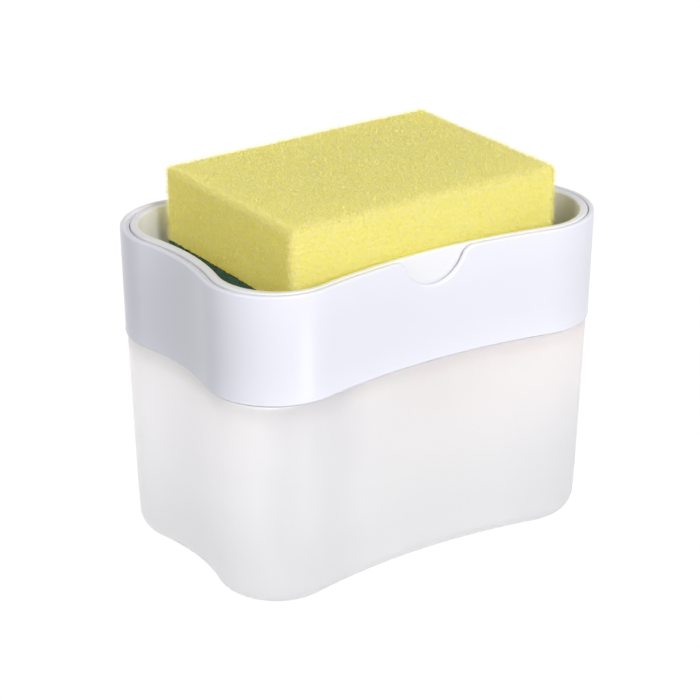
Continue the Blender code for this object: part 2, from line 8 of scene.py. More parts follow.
import bmesh
import bpy
import numpy as np
from mathutils import Matrix, Vector, noise


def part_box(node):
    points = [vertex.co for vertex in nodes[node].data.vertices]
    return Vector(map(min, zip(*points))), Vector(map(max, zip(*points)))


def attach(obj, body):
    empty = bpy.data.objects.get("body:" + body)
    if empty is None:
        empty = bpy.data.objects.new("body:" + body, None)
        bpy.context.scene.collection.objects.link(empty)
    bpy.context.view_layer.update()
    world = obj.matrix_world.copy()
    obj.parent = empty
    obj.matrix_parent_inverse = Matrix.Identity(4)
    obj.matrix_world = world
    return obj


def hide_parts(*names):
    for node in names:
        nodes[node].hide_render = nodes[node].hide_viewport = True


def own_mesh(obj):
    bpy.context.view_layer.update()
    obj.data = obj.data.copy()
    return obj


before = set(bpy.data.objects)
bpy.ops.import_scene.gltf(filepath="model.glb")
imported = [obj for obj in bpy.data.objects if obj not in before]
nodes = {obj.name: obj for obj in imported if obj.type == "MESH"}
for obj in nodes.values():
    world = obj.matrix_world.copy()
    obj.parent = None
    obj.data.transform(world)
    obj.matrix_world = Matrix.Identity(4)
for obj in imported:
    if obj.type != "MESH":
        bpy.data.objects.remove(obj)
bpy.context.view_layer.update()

# Plan outline at the rim, and the walls set in from it
half_length = 0.0700
half_width = 0.04625
corner_radius = 0.0232
long_side_hollow = 0.00505
short_side_hollow = 0.0029
ring_wall = 0.0017
tray_gap = 0.0009
tray_wall = 0.0020
short_wall_extra = 0.0008
tray_shift = (0.00055, -0.0003, 0.0)
draft = 0.019

# Points along each stretch of a quarter of the outline
short_side_steps = 8
corner_steps = 26
long_side_steps = 12
bowl_steps = 26
shoulder_steps = 10

# Levels: the tops of the cover and tub and the tray's underside are read from the CAD nodes
rim_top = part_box("top_cover")[1].z
tub_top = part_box("reservoir")[1].z
tray_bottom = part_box("sponge_tray")[0].z
deck_top = 0.0720
seam = 0.0700
skirt_bottom = 0.0640
well_top = 0.0600
well_bottom = 0.0580

# Edges, and the rings that fill in a shell's end, as shares of its size
rim_edge = 0.0006
ring_round = 0.0008
seam_edge = 0.00035
edge_steps = 4
fold_degrees = 32
cap_shares = (0.66, 0.33)

# Cover: a small lip over the seam, and a step inside that narrows the gap round the tray
lip = 0.00015
lip_height = 0.0012
wall_start = 0.012
under_notch = 0.0022
step_depth = 0.0009
slide_gap = 0.0003
deck_fillet = 0.0015
well_radius = 0.0150
well_wall = 0.0018
well_lead = 0.0004
neck_hole = 0.0084
skirt_wall = 0.0014
skirt_gap = 0.0003
skirt_lead = 0.0003
skirt_lead_height = 0.0006
notch_radius = 0.0115
notch_depth = 0.0102
notch_shoulder = 0.0045

# Reservoir
seam_inset = (rim_top - seam) * draft
seam_step = 0.00055
tub_inset = seam_inset + seam_step
tub_wall = 0.0018
tub_floor = 0.0020
tub_draft = 0.029
tub_fillet = 0.0065
tub_inner_fillet = 0.0050
tub_fillet_steps = 12
tub_inner_fillet_steps = 10
tub_wall_steps = 7

# Tray
tray_floor = 0.0018
floor_top = tray_bottom + tray_floor
tray_outer_fillet = 0.0030
tray_inner_fillet = 0.0018
tray_hole = 0.0070
hole_ledge = 0.0010
hole_ledge_height = 0.0009
collar_wall = 0.0014
collar_height = 0.0016
collar_edge = 0.0003
rib_height = 0.0020
rib_top = floor_top + rib_height
rib_width = 0.0016
rib_pitch = 0.0095
rib_length = 0.0592
rib_sink = 0.0006
rib_edge = 0.0006
ribs_each_side = 4

# Sponge, and how its glued joint dips along the left side
sponge_length = 0.1000
sponge_width = 0.0705
sponge_turn = math.radians(1.0)
sponge_shift = 0.0006
foam_grid = 0.0005
foam_proud = 0.0001
pad_grid = 0.0008
glued_edge = 0.00025
swell_size = 0.018
side_dip = 0.0012
corner_dip = 0.0005
dip_reach_x = 0.030
dip_start_y = 0.036
dip_span_y = 0.022

# Return spring
spring_wire = 0.0008
spring_radius = 0.0038
spring_curls = 7
spring_end_pitch = 0.0014
spring_steps = 28

# What the camera and the lamps aim at
camera_aim = 0.055
lamp_aim = 0.06

# Colours, as linear red, green and blue
ring_white = (0.84, 0.84, 0.915)
inside_white = (0.95, 0.94, 0.93)
tray_white = (0.925, 0.925, 0.955)
natural_white = (0.76, 0.77, 0.76)
seal_grey = (0.55, 0.58, 0.62)
wire_grey = (0.60, 0.61, 0.63)
ball_grey = (0.68, 0.69, 0.71)
frost_low_painted_shade = (0.914, 0.914, 0.918)
frost_high = (0.982, 0.977, 0.978)
frost_painted_light = (1.0, 0.982, 0.976)
frost_streak_shade = (0.868, 0.869, 0.877)
frost_land_painted_shade = (0.72, 0.72, 0.74)
foam_pore_shade = (0.89, 0.795, 0.19)
foam_body = (1.0, 0.925, 0.262)
foam_pale_and_lit = (1.0, 0.97, 0.42)
foam_painted_glint = (1.0, 0.99, 0.70)
foam_edge = (1.0, 0.98, 0.70)
foam_sheen = (1.0, 0.97, 0.66, 1.0)
pad_dark = (0.020, 0.055, 0.038)
pad_mid = (0.055, 0.150, 0.108)
pad_light = (0.150, 0.290, 0.215)
floor_dark = (0.50, 0.50, 0.505)
floor_light = (0.53, 0.53, 0.535)
ambient_colour = (0.985, 0.99, 1.0)
white = (1, 1, 1)


def arc(centre, radius, start, end, steps):
    """Points along an arc, both ends included."""
    turns = np.linspace(start, end, steps + 1)
    return np.stack([centre[0] + radius * np.cos(turns), centre[1] + radius * np.sin(turns)], 1)


def side_radius(reach, hollow):
    """Radius of a side that bows in by hollow between the corners' middles."""
    return (reach * reach + hollow * hollow) / (2 * hollow) - corner_radius


corner_x = half_length - corner_radius
corner_y = half_width - corner_radius
long_radius = side_radius(corner_x, long_side_hollow)
short_radius = side_radius(corner_y, short_side_hollow)
long_centre = half_width - long_side_hollow + long_radius
short_centre = half_length - short_side_hollow + short_radius
corner_low = math.atan2(-corner_y, short_centre - corner_x)
corner_high = math.atan2(long_centre - corner_y, -corner_x)

# The thumb notch's edge in the front wall, as x, drop below the rim and the edge's outward normal
notch_centre = notch_radius - notch_depth
shoulder_rise = notch_centre + notch_shoulder
shoulder_x = math.sqrt((notch_radius + notch_shoulder) ** 2 - shoulder_rise ** 2)
notch_lean = math.atan2(shoulder_rise, shoulder_x)
bowl_turns = np.linspace(-math.pi / 2, -notch_lean, bowl_steps + 1)
shoulder_turns = np.linspace(math.pi - notch_lean, math.pi / 2, shoulder_steps + 1)[1:]
bowl = [
    (notch_radius * c, notch_centre + notch_radius * s, -c, -s)
    for c, s in ((math.cos(t), math.sin(t)) for t in bowl_turns)
]
shoulder = [
    (shoulder_x + notch_shoulder * c, notch_shoulder * (s - 1), c, s)
    for c, s in ((math.cos(t), math.sin(t)) for t in shoulder_turns)
]
notch_edge = np.array(bowl + shoulder)[::-1]


def quarter(inset, side_x):
    """One quarter of the outline, from the short side's middle to the long side's middle."""
    end = math.pi + corner_low
    middle = (corner_x, corner_y)
    short = arc((short_centre, 0), short_radius + inset, math.pi, end, short_side_steps)
    corner = arc(middle, corner_radius - inset, corner_low, corner_high, corner_steps)[1:]
    join = corner[-1][0]
    reach = np.linspace(join, side_x[0], long_side_steps + 1)[1:-1]
    x = np.concatenate([reach, side_x])
    y = long_centre - np.sqrt((long_radius + inset) ** 2 - x * x)
    return np.concatenate([short, corner, np.stack([x, y], 1)])


def ring_at(inset, height, depth=0.0, notched=False):
    """The outline at a height, or at a depth below the rim where it follows the thumb notch."""
    plain = quarter(inset, notch_edge[:, 0])
    count = len(notch_edge)
    rows = []
    for sign_x, sign_y in ((1, 1), (-1, 1), (-1, -1), (1, -1)):
        points = np.column_stack([plain * (sign_x, sign_y), np.full(len(plain), height)])
        if notched and sign_y < 0:
            x = notch_edge[:, 0] - notch_edge[:, 2] * depth
            drop = notch_edge[:, 1] - notch_edge[:, 3] * depth + depth
            flare = inset + draft * -drop
            y = long_centre - np.sqrt((long_radius + flare) ** 2 - x * x)
            points[-count:] = np.column_stack([sign_x * x, -y, height + drop])
        if sign_x != sign_y:
            points = points[::-1]
        rows.append(points[:-1])
    return np.concatenate(rows)


def wall_under_notch(inset, height, depth):
    """The outline at a height below the notch, with its points straight under the notch's edge."""
    points = ring_at(inset, height)
    above = ring_at(inset, height, depth, notched=True)
    moved = np.abs(above[:, 0] - points[:, 0]) > 0
    x = above[moved, 0]
    points[moved, 0] = x
    points[moved, 1] = -(long_centre - np.sqrt((long_radius + inset) ** 2 - x * x))
    return points


def circle_at(radius, height):
    """A circle with a point straight in from each point of the outline."""
    flat = ring_at(0, 0)[:, :2]
    flat = flat / np.linalg.norm(flat, axis=1)[:, None] * radius
    return np.column_stack([flat, np.full(len(flat), height)])


def new_object(name, verts, faces):
    """A mesh object in the scene, from points and faces."""
    mesh = bpy.data.meshes.new(name)
    mesh.from_pydata([tuple(v) for v in verts], [], [tuple(f) for f in faces])
    mesh.validate()
    made = bpy.data.objects.new(name, mesh)
    bpy.context.scene.collection.objects.link(made)
    return made


def finish_mesh(made, fold=fold_degrees):
    """Turn every face outwards and shade it smooth, apart from its sharp folds."""
    shape = bmesh.new()
    shape.from_mesh(made.data)
    bmesh.ops.recalc_face_normals(shape, faces=shape.faces)
    shape.to_mesh(made.data)
    shape.free()
    made.data.shade_smooth()
    made.data.set_sharp_from_angle(angle=math.radians(fold))
    return made


def loft(name, rings, closed):
    """Skin rings of equal count into a shell, closed on itself or filled in at its two ends."""
    rings = list(rings)
    if not closed:
        for at in (0, -1):
            middle = rings[at].mean(0)
            filled = [middle + (rings[at] - middle) * share for share in cap_shares]
            rings = rings + filled if at else filled[::-1] + rings
    count = len(rings[0])
    verts = np.concatenate(rings)
    faces = []
    pairs = [(i, i + 1) for i in range(len(rings) - 1)] + ([(len(rings) - 1, 0)] if closed else [])
    for a, b in pairs:
        for i in range(count):
            j = (i + 1) % count
            faces.append((a * count + i, a * count + j, b * count + j, b * count + i))
    if not closed:
        for at in (0, len(rings) - 1):
            middle = len(verts)
            verts = np.vstack([verts, rings[at].mean(0)])
            faces += [(at * count + i, at * count + (i + 1) % count, middle) for i in range(count)]
    return finish_mesh(new_object(name, verts, faces))


def fillet(inset, height, inset_way, height_way, radius, inset_first, steps=edge_steps * 2):
    """Inset and height along a quarter fillet."""
    points = []
    for turn in np.linspace(0, math.pi / 2, steps + 1):
        along, across = math.sin(turn) * radius, (1 - math.cos(turn)) * radius
        a, b = (along, across) if inset_first else (across, along)
        points.append((inset + inset_way * a, height + height_way * b))
    return points


def rim(outer, inner, edge, inner_edge=None):
    """Inset and depth over a flat rim with two rounded edges, from outside to inside."""
    def rounded_edge(radius):
        turns = np.linspace(0, math.pi / 2, edge_steps + 1)
        return [(radius * (1 - math.cos(t)), radius * (1 - math.sin(t))) for t in turns]

    out = [(outer + along, depth) for along, depth in rounded_edge(edge)]
    back = [(inner - along, depth) for along, depth in reversed(rounded_edge(inner_edge or edge))]
    return out + back


def make_tub():
    """The frosted reservoir."""
    foot = tub_inset + tub_draft * tub_top
    inner_foot = foot + tub_wall
    outside = fillet(foot + tub_fillet, 0, -1, 1, tub_fillet, True, tub_fillet_steps)
    over = [(i, tub_top - d) for i, d in rim(tub_inset, tub_inset + tub_wall, seam_edge)]
    inner_start = inner_foot + tub_inner_fillet
    inside = fillet(inner_start, tub_floor, -1, 1, tub_inner_fillet, True, tub_inner_fillet_steps)
    levels = np.linspace(tub_fillet, tub_top, tub_wall_steps + 1)[1:-1]
    middle = [(foot - tub_draft * z, z) for z in levels]
    inner_middle = [(i + tub_wall, z) for i, z in reversed(middle)]
    section = outside + middle + over + inner_middle + inside[::-1]
    return loft("tub_shell", [ring_at(i, z) for i, z in section], closed=False)


def make_cover():
    """The white ring with its deck, pump well and plug skirt."""
    low = [
        (seam_inset + seam_edge, seam),
        (seam_inset + seam_edge * 0.3 - lip, seam + seam_edge * 0.3),
        (seam_inset - lip, seam + seam_edge),
        (seam_inset - lip * 0.7, seam + lip_height / 2),
        (seam_inset - draft * lip_height, seam + lip_height),
        (draft * (rim_top - (seam + wall_start)), seam + wall_start),
    ]
    rings = [ring_at(i, z) for i, z in low]
    under = rim_top - notch_depth - under_notch
    rings.append(wall_under_notch(draft * (rim_top - under), under, ring_round))
    for inset, depth in rim(0, ring_wall, ring_round, rim_edge):
        rings.append(ring_at(inset + draft * depth, rim_top - depth, depth, notched=True))

    step_top = rim_top - step_depth
    step_inset = ring_wall + tray_gap - slide_gap + draft * step_depth
    rings.append(ring_at(ring_wall + draft * step_depth, step_top, step_depth, notched=True))
    rings.append(ring_at(step_inset, step_top, step_depth, notched=True) + tray_shift)
    under_step = step_inset + draft * (step_top - under)
    rings.append(wall_under_notch(under_step, under, step_depth) + tray_shift)

    deck_inset = ring_wall + draft * (rim_top - deck_top)
    deck_corner = fillet(deck_inset, deck_top + deck_fillet, 1, -1, deck_fillet, False)
    rings += [ring_at(i, z) for i, z in deck_corner]
    well = [
        (well_radius + well_lead, deck_top), (well_radius, deck_top - well_lead),
        (well_radius, well_top), (neck_hole, well_top), (neck_hole, well_bottom),
        (well_radius + well_wall, well_bottom), (well_radius + well_wall, seam),
    ]
    rings += [circle_at(r, z) for r, z in well]
    skirt_outer = tub_inset + tub_wall + tub_draft * (seam - skirt_bottom) + skirt_gap
    skirt_inner = skirt_outer + skirt_wall
    skirt = [
        (skirt_inner, seam), (skirt_inner, skirt_bottom), (skirt_outer + skirt_lead, skirt_bottom),
        (skirt_outer, skirt_bottom + skirt_lead_height), (skirt_outer, seam),
    ]
    rings += [ring_at(i, z) for i, z in skirt]
    return loft("cover_shell", rings, closed=True)


def make_tray():
    """The tray that the sponge lies in, with drip ribs and a collar round the nozzle."""
    outer = ring_wall + tray_gap
    inner = outer + tray_wall
    foot = outer + draft * (rim_top - tray_bottom)
    inner_foot = inner + draft * (rim_top - floor_top)
    inner_start = inner_foot + tray_inner_fillet
    section = fillet(foot + tray_outer_fillet, tray_bottom, -1, 1, tray_outer_fillet, True)
    section += [(i, rim_top - d) for i, d in rim(outer, inner, rim_edge)]
    section += fillet(inner_start, floor_top, -1, 1, tray_inner_fillet, True)[::-1]
    wall_middle = (outer + inner) / 2
    rings = []
    for inset, height in section:
        flat = inset - draft * (rim_top - height)
        squeeze = 1 - short_wall_extra / half_length * (flat > wall_middle)
        rings.append(ring_at(inset, height) * (squeeze, 1, 1) + tray_shift)

    top = floor_top + collar_height
    collar = tray_hole + collar_wall
    ledge_top = tray_bottom + hole_ledge_height
    middle = [
        (collar, floor_top), (collar, top - collar_edge), (collar - collar_edge, top),
        (tray_hole + collar_edge, top), (tray_hole, top - collar_edge), (tray_hole, ledge_top),
        (tray_hole - hole_ledge, ledge_top), (tray_hole - hole_ledge, tray_bottom),
    ]
    rings += [circle_at(r, z) for r, z in middle]
    tray = loft("tray_shell", rings, closed=True)
    tool = make_ribs()
    join = tray.modifiers.new("ribs", "BOOLEAN")
    join.operation, join.solver, join.object = "UNION", "EXACT", tool
    apply_modifiers(tray)
    bpy.data.objects.remove(tool)
    tray.data.set_sharp_from_angle(angle=math.radians(fold_degrees))
    return tray


def make_ribs():
    """The drip ribs as bars with rounded ends and tops."""
    shape = bmesh.new()
    start = tray_hole + collar_wall + rib_width
    height = rib_top - floor_top + rib_sink
    for side in (-1, 1):
        for number in range(ribs_each_side):
            made = bmesh.ops.create_cube(shape, size=1)["verts"]
            bmesh.ops.scale(shape, verts=made, vec=(rib_width, rib_length, height))
            place = (side * (start + rib_pitch * number), 0, rib_top - height / 2)
            bmesh.ops.translate(shape, verts=made, vec=place)
    upper = [e for e in shape.edges if max(v.co.z for v in e.verts) > floor_top]
    bmesh.ops.bevel(shape, geom=upper, offset=rib_edge, segments=3, affect="EDGES", profile=0.5)
    tool = new_object("rib_tool", [], [])
    shape.to_mesh(tool.data)
    shape.free()
    return tool


def apply_modifiers(made):
    """Put the result of a piece's modifiers into its mesh."""
    graph = bpy.context.evaluated_depsgraph_get()
    mesh = bpy.data.meshes.new_from_object(made.evaluated_get(graph))
    made.modifiers.clear()
    made.data = mesh


def block_skin(size, grid):
    """Points and quads on the surface of a block, the points as fractions of its half size."""
    counts = [max(2, round(s / grid)) for s in size]
    spots, quads, base = [], [], 0
    for axis in range(3):
        u, v = (axis + 1) % 3, (axis + 2) % 3
        for side in (0, 1):
            cell = np.zeros((counts[u] + 1, counts[v] + 1, 3), int)
            cell[:, :, axis] = counts[axis] * side
            cell[:, :, u] = np.arange(counts[u] + 1)[:, None]
            cell[:, :, v] = np.arange(counts[v] + 1)[None, :]
            index = np.arange(cell.shape[0] * cell.shape[1]).reshape(cell.shape[:2]) + base
            corners = [index[:-1, :-1], index[1:, :-1], index[1:, 1:], index[:-1, 1:]]
            quad = np.stack(corners, -1).reshape(-1, 4)
            quads.append(quad if side else quad[:, ::-1])
            spots.append(cell.reshape(-1, 3))
            base += cell.shape[0] * cell.shape[1]
    spots, inverse = np.unique(np.concatenate(spots), axis=0, return_inverse=True)
    return spots / np.array(counts) * 2 - 1, inverse.reshape(-1)[np.concatenate(quads)]


def rounded(points, half, radius):
    """Points of a block drawn in to rounded edges, and which way each one faces."""
    inner = np.clip(points, -(half - radius), half - radius)
    away = points - inner
    away /= np.linalg.norm(away, axis=1)[:, None]
    return inner + away * radius, away


def glue_dip(points):
    """How far the glued joint dips along the sponge's left side and its front left corner."""
    x, y = points[:, 0] + sponge_length / 2, points[:, 1] + sponge_width / 2
    along = np.clip((dip_start_y - y) / dip_span_y, 0, 1)
    across = np.clip((dip_reach_x - x) / dip_reach_x, 0, 1)
    return (side_dip + corner_dip * along ** 2 * (3 - 2 * along)) * across


def wander(points, scale, seed):
    """Smooth noise at points, from -1 to 1."""
    shift = Vector((seed * 3.1, seed * 7.7, seed * 1.3))
    return np.array([noise.noise(Vector(p) / scale + shift) for p in points])


def tube(path, radius, sides):
    """Points and faces of a round wire with closed ends along a path."""
    path = np.asarray(path, float)
    along = np.gradient(path, axis=0)
    along /= np.linalg.norm(along, axis=1)[:, None]
    side = np.cross(along[0], (0, 0, 1.0))
    if np.linalg.norm(side) < 1e-6:
        side = np.array((1.0, 0, 0))
    turns = np.arange(sides) * math.tau / sides
    verts = []
    for p, t in zip(path, along):
        side = side - t * side.dot(t)
        side /= np.linalg.norm(side)
        up = np.cross(t, side)
        verts += [p + radius * (side * math.cos(a) + up * math.sin(a)) for a in turns]
    faces = []
    for i in range(len(path) - 1):
        for k in range(sides):
            j = (k + 1) % sides
            faces.append((i * sides + k, i * sides + j, (i + 1) * sides + j, (i + 1) * sides + k))
    last = (len(path) - 1) * sides
    faces.append(tuple(range(sides))[::-1])
    faces.append(tuple(last + k for k in range(sides)))
    return verts, faces


def sponge_layer(name, node, grid, proud, edge, glued, pore, pits, tufts, jitter, swell, seed):
    """A layer of the sponge: a rounded block with an uneven skin, cut square where it is glued.

    Glued is -1 for a layer glued underneath and 1 for one glued on top. Pits and tufts are the
    shares of its points that lie deeper and stand prouder. Returns the piece, and the points of
    its free faces with the way each one faces.
    """
    square_reach = 2.5 * edge
    pit_depths, tuft_heights = (1.5, 3.0), (1.0, 3.2)
    swell_offset = 0.6
    free_below = 0.4
    low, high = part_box(node)
    top = high.z + proud
    size = np.array((sponge_length + 2 * proud, sponge_width + 2 * proud, top - low.z))
    centre = np.array((sponge_shift, 0, (low.z + top) / 2))
    half = size / 2
    spots, faces = block_skin(size, grid)
    points, away = rounded(spots * half, half, edge)
    square, flat_away = rounded(spots * half, half, glued_edge)
    share = np.clip((half[2] - glued * spots[:, 2] * half[2]) / square_reach, 0, 1)[:, None]
    points = square + (points - square) * share
    away = flat_away + (away - flat_away) * share
    away /= np.linalg.norm(away, axis=1)[:, None]
    rng = np.random.default_rng(seed)
    count = len(points)
    depth = -np.abs(rng.normal(0, pore, count))
    depth -= np.where(rng.random(count) < pits, rng.uniform(*pit_depths, count) * pore, 0)
    depth += np.where(rng.random(count) < tufts, rng.uniform(*tuft_heights, count) * pore, 0)
    depth += swell * (wander(points, swell_size, seed) - swell_offset)
    shake = rng.normal(0, jitter, (count, 3))
    shake -= away * (shake * away).sum(1)[:, None]
    points = points + away * depth[:, None] + shake
    sink = np.clip(0.5 + glued * points[:, 2] / size[2], 0, 1) ** 2
    points[:, 2] -= glue_dip(points) * sink
    turn = np.array(Matrix.Rotation(sponge_turn, 3, "Z"))
    points = points @ turn.T + centre
    free = away[:, 2] * glued < free_below
    return finish_mesh(new_object(name, points, faces), 180), points[free], (away @ turn.T)[free]


def spikes(name, points, away, count, length, radius, lean, seed):
    """Fine three-sided spikes rooted in a skin: cut ends of the foam's struts and cell skins."""
    least_rise = 0.25
    long_share, long_factor = 0.15, 1.6
    rooted = 0.35
    sides = (0, 2.1, 4.2)
    rng = np.random.default_rng(seed)
    pick = rng.integers(0, len(points), count)
    out = away[pick]
    foot = points[pick] + rng.normal(0, foam_grid / 2, (count, 3))
    way = out + rng.normal(0, lean, (count, 3))
    way += out * np.clip(least_rise - (way * out).sum(1), 0, None)[:, None]
    way /= np.linalg.norm(way, axis=1)[:, None]
    reach = rng.uniform(*length, count)
    reach *= np.where(rng.random(count) < long_share, long_factor, 1.0)
    across = np.cross(way, rng.normal(0, 1, (count, 3)))
    across /= np.linalg.norm(across, axis=1)[:, None]
    beside = np.cross(way, across)
    thick = rng.uniform(*radius, count)[:, None]
    root = foot - way * (reach * rooted)[:, None]
    corners = [root + thick * (across * math.cos(a) + beside * math.sin(a)) for a in sides]
    verts = np.stack(corners + [foot + way * reach[:, None]], 1).reshape(-1, 3)
    base = np.arange(count)[:, None, None] * 4
    faces = (base + np.array([(0, 1, 3), (1, 2, 3), (2, 0, 3), (0, 2, 1)])).reshape(-1, 3)
    return finish_mesh(new_object(name, verts, faces.tolist()), 30)


def fibres(name, points, away, count, length, radius, seed):
    """Curved scouring fibres that lie on a skin and stand a little off it."""
    along = np.linspace(-0.5, 0.5, 6)
    arch = 1.6 * along ** 2
    rises, widths = (0.1, 0.3), (0.7, 1.2)
    rng = np.random.default_rng(seed)
    verts, faces = [], []
    for pick in rng.integers(0, len(points), count):
        out = away[pick]
        way = np.cross(out, rng.normal(0, 1, 3))
        way /= np.linalg.norm(way)
        side = np.cross(out, way)
        reach, bow = rng.uniform(*length), rng.normal(0, 0.3)
        rise = rng.uniform(*rises) - arch
        bend = bow * (along ** 2 - 0.25)
        path = points[pick] + reach * (along[:, None] * way + bend[:, None] * side)
        path = path + radius * 4 * rise[:, None] * out
        ring, skin = tube(path, radius * rng.uniform(*widths), 4)
        faces += [tuple(v + len(verts) for v in f) for f in skin]
        verts += ring
    return finish_mesh(new_object(name, verts, faces), 80)


def make_spring():
    """The return spring as a fine wire on its helix, closer wound at its ends."""
    low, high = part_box("return_spring")
    middle_curls = spring_curls - 2
    pitch = (high.z - low.z - spring_wire - 2 * spring_end_pitch) / middle_curls
    path = []
    for i in range(spring_curls * spring_steps + 1):
        curl = i / spring_steps
        rise = min(curl, 1) * spring_end_pitch + min(max(curl - 1, 0), middle_curls) * pitch
        rise += max(curl - spring_curls + 1, 0) * spring_end_pitch
        turn = math.tau * curl
        height = low.z + spring_wire / 2 + rise
        path.append((spring_radius * math.cos(turn), spring_radius * math.sin(turn), height))
    verts, faces = tube(path, spring_wire / 2, 10)
    return finish_mesh(new_object("spring_wire", verts, faces), 40)


class Nodes:
    """A shader node tree under construction."""

    def __init__(self, tree):
        self.tree = tree

    def add(self, kind, props=None, **values):
        """Add a node, set its properties, and set or link its inputs by name."""
        node = self.tree.nodes.new(kind)
        for key, value in (props or {}).items():
            setattr(node, key, value)
        for key, value in values.items():
            self.feed(node, key.replace("_", " "), value)
        return node

    def feed(self, node, key, value):
        """Set or link one input, by its name or its number."""
        socket = node.inputs[key]
        if isinstance(value, bpy.types.NodeSocket):
            self.tree.links.new(value, socket)
        else:
            socket.default_value = value

    def axes(self, vector):
        """A vector's three parts, by the names X, Y and Z."""
        return self.add("ShaderNodeSeparateXYZ", Vector=vector).outputs

    def spread(self, value, low, high, from_low=0.3, from_high=0.7):
        """Remap a value to low at from_low and high at from_high, and hold it beyond them."""
        node = self.add("ShaderNodeMapRange", Value=value)
        ends = (("From Min", from_low), ("From Max", from_high), ("To Min", low), ("To Max", high))
        for key, number in ends:
            node.inputs[key].default_value = number
        return node.outputs["Result"]

    def mix(self, share, a, b):
        """Mix two colours, which a Mix node takes at inputs 6 and 7 and gives at output 2."""
        node = self.add("ShaderNodeMix", {"data_type": "RGBA"})
        self.feed(node, 0, share)
        for index, value in ((6, a), (7, b)):
            linked = isinstance(value, bpy.types.NodeSocket)
            self.feed(node, index, value if linked else (*value, 1.0))
        return node.outputs[2]

    def ramp(self, value, stops):
        """A colour ramp from (place, colour) stops."""
        node = self.add("ShaderNodeValToRGB", Fac=value)
        elements = node.color_ramp.elements
        while len(elements) < len(stops):
            elements.new(0.5)
        for element, (place, colour) in zip(elements, stops):
            element.position = place
            element.color = (*colour, 1.0)
        return node.outputs["Color"]

    def math(self, operation, *values):
        """One Math node."""
        node = self.add("ShaderNodeMath", {"operation": operation})
        for index, value in enumerate(values):
            self.feed(node, index, value)
        return node.outputs[0]

    def seen(self, rays, through):
        """One where the camera or a reflection looks, and otherwise through."""
        straight = self.math("MAXIMUM", rays["Is Camera Ray"], rays["Is Glossy Ray"])
        return self.math("MAXIMUM", straight, through)


class Look(Nodes):
    """A material under construction, with its patterns laid out in the part's own metres."""

    def __init__(self, name):
        self.material = bpy.data.materials.new(name)
        self.material.use_nodes = True
        super().__init__(self.material.node_tree)
        self.tree.nodes.clear()
        self.place = self.add("ShaderNodeTexCoord").outputs["Object"]

    def noise(self, size, detail=2.0, rough=0.5, place=None):
        """Noise whose features are about size metres across."""
        node = self.add("ShaderNodeTexNoise", Scale=1 / size, Detail=detail, Roughness=rough)
        self.feed(node, "Vector", place or self.place)
        return node.outputs["Fac"]

    def cells(self, size):
        """Distance from the middles of cells about size metres across."""
        node = self.add("ShaderNodeTexVoronoi", Vector=self.place, Scale=1 / size)
        return node.outputs["Distance"]

    def bump(self, height, distance, strength=1.0):
        """A bump of that real height in metres."""
        node = self.add("ShaderNodeBump", Height=height, Distance=distance, Strength=strength)
        return node.outputs["Normal"]

    def solid(self, **values):
        """A Principled shader."""
        return self.add("ShaderNodeBsdfPrincipled", **values).outputs["BSDF"]

    def blend(self, share, first, second):
        """Mix two shaders."""
        node = self.add("ShaderNodeMixShader")
        for index, value in enumerate((share, first, second)):
            self.feed(node, index, value)
        return node.outputs[0]

    def lit_through(self, share, body, **values):
        """A shader that lets a share of the light through from behind."""
        behind = self.add("ShaderNodeBsdfTranslucent", **values).outputs["BSDF"]
        return self.blend(share, body, behind)

    def end(self, shader):
        """Plug the surface in."""
        out = self.add("ShaderNodeOutputMaterial")
        self.tree.links.new(shader, out.inputs["Surface"])
        return self.material


def tone(colour, share):
    """A colour made lighter or darker by a share."""
    return tuple(min(1.0, c * (1 + share)) for c in colour)


def plastic_look(name, colour, roughness, grain=0.0009, depth=0.000002, through=0.0, inside=None):
    """Moulded plastic: faint mottling, uneven gloss, a moulded skin and some light let through.

    Inside is the colour of what is hidden under the seam, which lets most light through.
    """
    mottle = 0.006
    hidden_through = 0.90
    look = Look(name)
    patches = look.noise(0.030, 1.0)
    shade = look.mix(look.spread(patches, 0, 1), tone(colour, -mottle), tone(colour, mottle))
    gloss = look.spread(look.noise(0.0025, 2.0), roughness * 0.95, roughness * 1.05)
    skin = look.bump(look.noise(grain, 2.0), depth)
    share = through
    if inside:
        height = look.axes(look.place)["Z"]
        hidden = look.spread(height, 1, 0, seam + 0.0001, seam + 0.0003)
        share = look.spread(hidden, through, hidden_through, 0, 1)
        shade = look.mix(hidden, shade, inside)
    body = look.solid(Base_Color=shade, Roughness=gloss, Normal=skin)
    if not through:
        return look.end(body)
    return look.end(look.lit_through(share, body, Color=shade, Normal=skin))


